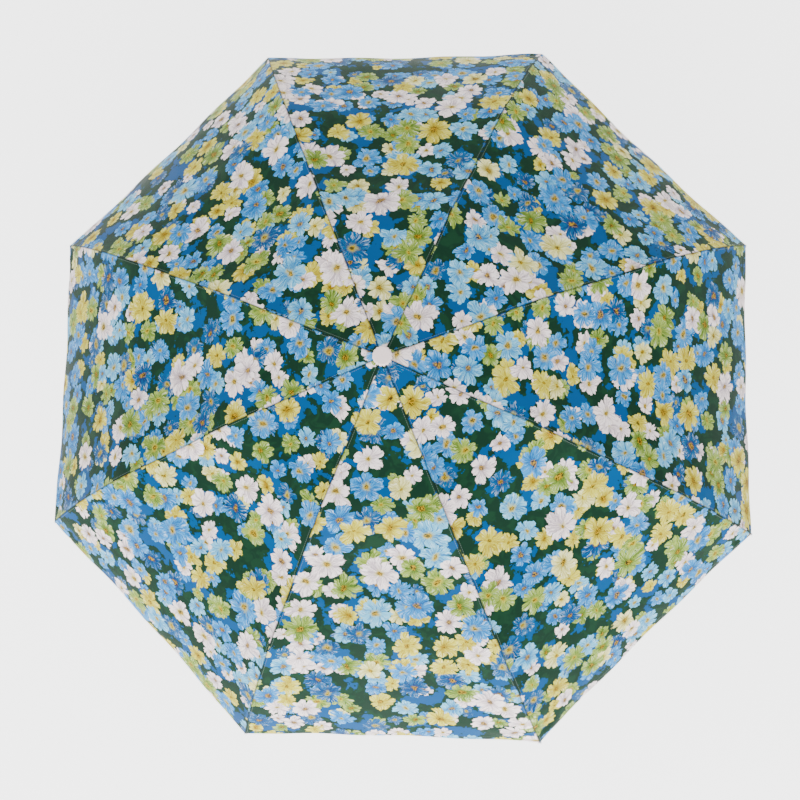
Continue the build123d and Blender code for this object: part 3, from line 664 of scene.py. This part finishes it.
    # stamens and eye, drawn as short rays
    grain = n.new("ShaderNodeTexNoise", {"Vector": scaled.outputs[0], "Scale": 30.0, "Detail": 1.0})
    needles = n.new("ShaderNodeTexNoise", {"Vector": rays.outputs[0], "Scale": 4.0, "Detail": 1.0})
    eye_size = n.math("MULTIPLY", size, n.math("MULTIPLY_ADD", red, 0.10, 0.17))
    ragged = n.math("MULTIPLY", away, n.math("MULTIPLY_ADD", needles.outputs["Fac"], 2.2, 0.1))
    eye = n.ramp_step(n.math("SUBTRACT", eye_size, ragged), 0.0, 0.02)
    ring = n.ramp_step(n.math("SUBTRACT", n.math("MULTIPLY", eye_size, 1.9), ragged), 0.0, 0.10)
    eye_colour = n.mix(n.ramp_step(grain.outputs["Fac"], 0.46, 0.54), (*GOLD, 1), (*BROWN, 1))
    centre_tint = n.mix(n.math("GREATER_THAN", red, 0.6), (*YELLOW, 1), deep)
    colour = n.mix(n.math("MULTIPLY", ring, 0.7), petal_colour, centre_tint)
    colour = n.mix(n.math("MULTIPLY", eye, 0.9), colour, eye_colour)
    n.put(sink.inputs["Colour"], colour)
    n.put(sink.inputs["Mask"], mask)
    return group


def flower_print_group():
    """The whole cloth print: leafy ground and scatters of flowers laid over each other."""
    group, n, source, sink = new_group("flower_print", [("Place", "vector")], [("Colour", "colour")])
    place = source.outputs["Place"]
    patches = n.new("ShaderNodeTexNoise", {"Vector": place, "Scale": 30.0, "Detail": 4.0, "Roughness": 0.6})
    strokes = n.new("ShaderNodeTexNoise", {"Vector": place, "Scale": 60.0, "Detail": 2.0,
                                           "Distortion": 1.0})
    colour = n.mix(n.ramp_step(strokes.outputs["Fac"], 0.45, 0.60), (*GROUND_GREEN, 1), (*LEAF_GREEN, 1))
    colour = n.mix(n.ramp_step(patches.outputs["Fac"], 0.535, 0.55), colour, (*GROUND_BLUE, 1))
    layer_group = flower_layer_group()
    for cell, reach, density, tint, shift in FLOWER_LAYERS:
        layer = n.new("ShaderNodeGroup", node_tree=layer_group)
        n.put(layer.inputs["Place"], n.vector("ADD", place, shift))
        for key, value in (("Cell", cell), ("Reach", reach), ("Density", density), ("Tint", tint)):
            layer.inputs[key].default_value = value
        colour = n.mix(layer.outputs["Mask"], colour, layer.outputs["Colour"])
    n.put(sink.inputs["Colour"], colour)
    return group


SEAM_FOLD = 0.0036
HEM_FOLD = 0.0082
SEAM_STITCHES = 0.0024
HEM_STITCHES = 0.0066
STITCH_WIDTH = 0.00025
STITCHES_PER_METRE = 400.0


def cloth_edges_group():
    """Height of sewn seams and hem, a mask of their stitches and a mask of painted shade along each seam,
    from seam and hem distances.
    """
    group, n, source, sink = new_group("cloth_edges", [("Edges", "vector"), ("Print", "vector")],
                                       [("Height", "float"), ("Stitches", "float"), ("SeamShade", "float")])
    split = n.new("ShaderNodeSeparateXYZ", {0: source.outputs["Edges"]})
    flat = n.new("ShaderNodeSeparateXYZ", {0: source.outputs["Print"]})
    seam, hem = split.outputs[0], split.outputs[1]
    fold = n.ramp_step(seam, SEAM_FOLD + 0.0006, SEAM_FOLD - 0.0006)
    groove = n.ramp_step(seam, 0.0010, 0.0002)
    hem_fold = n.ramp_step(hem, HEM_FOLD + 0.0006, HEM_FOLD - 0.0006)
    height = n.math("SUBTRACT", n.math("MAXIMUM", fold, hem_fold), n.math("MULTIPLY", groove, 1.4))
    stitched = []
    for distance, line_at, along in (
        (seam, SEAM_STITCHES, flat.outputs[1]),
        (hem, HEM_STITCHES, flat.outputs[0]),
    ):
        line = n.math("COMPARE", distance, line_at, STITCH_WIDTH)
        dash = n.math("GREATER_THAN", n.math("FRACT", n.math("MULTIPLY", along, STITCHES_PER_METRE)), 0.3)
        stitched.append(n.math("MULTIPLY", line, dash))
    stitches = n.math("MAXIMUM", *stitched)
    n.put(sink.inputs["Height"], height)
    n.put(sink.inputs["Stitches"], stitches)
    # Painted shade: a thin dark line along each seam, where the fold would lie in shadow.
    n.put(sink.inputs["SeamShade"], n.ramp_step(seam, 0.0014, 0.0006))
    return group


THREADS_SCALE = 620.0
PRINT_BACK = (0.25, 0.32, 0.34, 1)
UNDERSIDE_PALENESS = 0.12
STITCH_COLOUR = (0.40, 0.45, 0.46, 1)
# Colour of the painted shade along each seam line.
SEAM_SHADE_COLOUR = (0.006, 0.010, 0.010, 1)


def cloth_material(name, print_group, edges_group, paleness):
    """Printed polyester with painted shade along its seams; paleness shows the print through from the other
    side.
    """
    material, n, shader = new_material(name)
    place = n.new("ShaderNodeUVMap", uv_map="print").outputs[0]
    edges = n.new("ShaderNodeUVMap", uv_map="edges").outputs[0]
    printed = n.new("ShaderNodeGroup", {"Place": place}, node_tree=print_group)
    sewn = n.new("ShaderNodeGroup", {"Edges": edges, "Print": place}, node_tree=edges_group)
    colour = printed.outputs["Colour"]
    if paleness:
        colour = n.mix(paleness, colour, PRINT_BACK)
    colour = n.mix(n.math("MULTIPLY", sewn.outputs["Stitches"], 0.22), colour, STITCH_COLOUR)
    # Painted shade: the cloth darkens towards each seam line.
    colour = n.mix(n.math("MULTIPLY", sewn.outputs["SeamShade"], 0.6), colour, SEAM_SHADE_COLOUR)
    weave_x = n.new("ShaderNodeTexWave", {"Vector": place, "Scale": THREADS_SCALE}, bands_direction="X")
    weave_y = n.new("ShaderNodeTexWave", {"Vector": place, "Scale": THREADS_SCALE}, bands_direction="Y")
    weave = n.math("MULTIPLY", weave_x.outputs["Fac"], weave_y.outputs["Fac"])
    crumple = n.new("ShaderNodeTexNoise", {"Vector": place, "Scale": 9.0, "Detail": 3.0})
    height = n.math("MULTIPLY_ADD", weave, 0.06, n.math("MULTIPLY", sewn.outputs["Height"], 0.35))
    height = n.math("MULTIPLY_ADD", crumple.outputs["Fac"], 1.4, height)
    height = n.math("MULTIPLY_ADD", sewn.outputs["Stitches"], -0.25, height)
    bump = n.new("ShaderNodeBump", {"Height": height, "Strength": 0.7, "Distance": 0.0008})
    n.put(shader.inputs["Base Color"], colour)
    n.put(shader.inputs["Roughness"], n.ramp_step(crumple.outputs["Fac"], 0.3, 0.7, 0.48, 0.60))
    n.put(shader.inputs["Normal"], bump.outputs[0])
    shader.inputs["Specular IOR Level"].default_value = 0.05
    return material


# ------------------------------------------------------------------ hard materials
def scratch_group():
    """Fine rubbed lines and smudges on metal and moulded parts."""
    group, n, source, sink = new_group("rubbed_finish", [("Scale", "float"), ("Stretch", "vector")],
                                       [("Lines", "float"), ("Smudge", "float")])
    place = n.new("ShaderNodeTexCoord").outputs["Object"]
    stretched = n.vector("MULTIPLY", place, source.outputs["Stretch"])
    lines = n.new("ShaderNodeTexNoise", {"Vector": stretched, "Scale": source.outputs["Scale"],
                                         "Detail": 4.0})
    smudge = n.new("ShaderNodeTexNoise", {"Vector": place, "Scale": 60.0, "Detail": 2.0})
    n.put(sink.inputs["Lines"], lines.outputs["Fac"])
    n.put(sink.inputs["Smudge"], smudge.outputs["Fac"])
    return group


def hard_material(name, finish, colour, rubbed, roughness, metallic, stretch, bump_height):
    """Metal or moulded plastic with rubbed lines, smudges and a little relief."""
    material, n, shader = new_material(name)
    marks = n.new("ShaderNodeGroup", {"Scale": 900.0, "Stretch": stretch}, node_tree=finish)
    lines, smudge = marks.outputs["Lines"], marks.outputs["Smudge"]
    n.put(shader.inputs["Base Color"], n.mix(n.ramp_step(lines, 0.35, 0.70), (*colour, 1), (*rubbed, 1)))
    n.put(shader.inputs["Roughness"], n.ramp_step(smudge, 0.3, 0.7, roughness * 0.8, roughness * 1.25))
    bump = n.new("ShaderNodeBump", {"Height": lines, "Strength": 0.4, "Distance": bump_height})
    n.put(shader.inputs["Normal"], bump.outputs[0])
    shader.inputs["Metallic"].default_value = metallic
    return material


THREAD_SHADE = (0.62, 0.62, 0.60)
THREAD_WHITE = (0.85, 0.85, 0.83)


def thread_material():
    """White twisted sewing thread."""
    material, n, shader = new_material("sewing_thread")
    place = n.new("ShaderNodeTexCoord").outputs["Object"]
    stretched = n.vector("MULTIPLY", place, (1, 1, 0.4))
    twist = n.new("ShaderNodeTexNoise", {"Vector": stretched, "Scale": 2600.0})
    n.put(shader.inputs["Base Color"], n.mix(twist.outputs["Fac"], (*THREAD_SHADE, 1), (*THREAD_WHITE, 1)))
    bump = n.new("ShaderNodeBump", {"Height": twist.outputs["Fac"], "Strength": 0.6, "Distance": 0.0002})
    n.put(shader.inputs["Normal"], bump.outputs[0])
    shader.inputs["Roughness"].default_value = 0.75
    return material


def dress_node(name, material):
    """Gives a carried-over node its finish."""
    piece = frame["nodes"][name]
    piece.data.materials.clear()
    piece.data.materials.append(material)


EVEN = (1, 1, 1)
DRAWN_ALONG_SHAFT = (1, 1, 0.03)
# Name, colour, rubbed colour, roughness, metallic, stretch of the marks, their height in metres,
# and the nodes that have the finish; the first is for every node the others don't name.
FINISHES = [
    ("rib_steel", (0.56, 0.57, 0.59), (0.70, 0.71, 0.73), 0.34, 1.0, EVEN, 0.00004, ()),
    ("shaft_steel", (0.66, 0.67, 0.69), (0.76, 0.77, 0.79), 0.18, 1.0, DRAWN_ALONG_SHAFT, 0.00002,
     ("top_tube", "middle_tube", "lower_tube")),
    ("wire_steel", (0.45, 0.45, 0.46), (0.62, 0.62, 0.63), 0.30, 1.0, EVEN, 0.00003,
     ("crown_ring", "runner_ring", "runner_catch")),
    ("hub_plastic", (0.018, 0.018, 0.020), (0.035, 0.035, 0.038), 0.42, 0.0, EVEN, 0.00004,
     ("crown", "runner")),
    ("cap_plastic", (0.74, 0.60, 0.585), (0.78, 0.655, 0.64), 0.32, 0.0, EVEN, 0.00003, ("finial_cap",)),
    ("grip_plastic", (0.72, 0.58, 0.565), (0.77, 0.64, 0.62), 0.40, 0.0, EVEN, 0.00005,
     ("handle_grip", "handle_end_cap")),
]


def dress_frame():
    """Gives every metal and moulded node its finish."""
    marks = scratch_group()
    choices = {}
    for name, colour, rubbed, roughness, metallic, stretch, height, nodes in FINISHES:
        material = hard_material(name, marks, colour, rubbed, roughness, metallic, stretch, height)
        choices.update({node: material for node in nodes})
    for node in frame["nodes"]:
        if node != "canopy":
            dress_node(node, choices.get(node, bpy.data.materials["rib_steel"]))


# ------------------------------------------------------------------ stage
FLOOR_SIZE = 14
FLOOR_GLOW = 2.0
WORLD_GLOW = 1.45
LIT_PLACE = Vector((0, 0, 0.35))
# Name, place, size in metres and power in watts.
LIGHTS = [
    ("key_light", (0.1, -3.2, 1.4), 3.4, 300),
    ("left_light", (-2.7, -0.8, 2.0), 3.2, 40),
    ("back_light", (0.2, 2.8, 2.0), 3.2, 30),
]


def make_floor():
    """A plain pale floor that glows a little, so that it stays almost white."""
    deselect_all()
    bpy.ops.mesh.primitive_plane_add(size=FLOOR_SIZE)
    floor = bpy.context.object
    floor.name = "studio_floor"
    material, _, shader = new_material("studio_floor")
    shader.inputs["Base Color"].default_value = (0.93, 0.93, 0.93, 1)
    shader.inputs["Roughness"].default_value = 0.9
    shader.inputs["Emission Color"].default_value = (1, 1, 1, 1)
    shader.inputs["Emission Strength"].default_value = FLOOR_GLOW
    floor.data.materials.append(material)


def make_lights():
    """Soft light from all sides, strongest from the front."""
    world = bpy.data.worlds.new("studio")
    world.use_nodes = True
    sky = world.node_tree.nodes["Background"]
    sky.inputs["Color"].default_value = (1, 1, 1, 1)
    sky.inputs["Strength"].default_value = WORLD_GLOW
    bpy.context.scene.world = world
    for name, place, size, power in LIGHTS:
        light = bpy.data.lights.new(name, "AREA")
        light.size = size
        light.energy = power
        lamp = bpy.data.objects.new(name, light)
        lamp.location = place
        lamp.rotation_euler = (LIT_PLACE - Vector(place)).to_track_quat("-Z", "Y").to_euler()
        bpy.context.collection.objects.link(lamp)


# The view distance and shift are shares of the canopy's reach.
TIP_REACH = 0.4806
TIP_HEIGHT = 0.300
VIEW_DISTANCE = 3.0
VIEW_TILT = (radians(-7.0), radians(-4.1), radians(-1.05))
VIEW_SHIFT = (-0.005, 0.040)
SENSOR_WIDTH = 36
LENS = 50.175


def make_camera():
    """Looks down on the canopy from a little more than its own width away."""
    turn = Matrix.Identity(3)
    for tilt, axis in zip(VIEW_TILT, "XYZ"):
        turn = turn @ Matrix.Rotation(tilt, 3, axis)
    back = turn.transposed()
    place = back @ Vector((-VIEW_SHIFT[0], -VIEW_SHIFT[1], VIEW_DISTANCE)) * TIP_REACH
    data = bpy.data.cameras.new("camera")
    data.sensor_width = SENSOR_WIDTH
    data.lens = LENS
    camera = bpy.data.objects.new("camera", data)
    camera.matrix_world = Matrix.Translation(place + Vector((0, 0, TIP_HEIGHT))) @ back.to_4x4()
    bpy.context.collection.objects.link(camera)
    bpy.context.scene.camera = camera


# ------------------------------------------------------------------ the sewn pieces
def dress_cloth():
    """Makes the canopy, its strap, snap and thread ties, and hangs them on the ribs."""
    print_group = flower_print_group()
    edges_group = cloth_edges_group()
    printed = cloth_material("printed_cloth", print_group, edges_group, 0.0)
    underside = cloth_material("cloth_underside", print_group, edges_group, UNDERSIDE_PALENESS)
    carrier = make_carrier()

    canopy = make_canopy()
    canopy.data.materials.append(printed)
    canopy.data.materials.append(underside)
    carry(canopy, carrier)
    shell = thicken(canopy, CLOTH_THICKNESS, 1)
    shell.material_offset = 1
    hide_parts("canopy")

    strap = make_strap()
    strap.data.materials.append(printed)
    carry(strap, carrier)
    thicken(strap, STRAP_THICKNESS, 0)

    snap = make_snap()
    snap.data.materials.append(bpy.data.materials["wire_steel"])
    carry(snap, carrier)
    thread = thread_material()
    for rib in range(1, RIB_COUNT + 1):
        ties = make_ties(rib)
        ties.data.materials.append(thread)
        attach(ties, f"outer_rib_{rib}")


make_camera()
make_floor()
make_lights()
dress_frame()
dress_cloth()
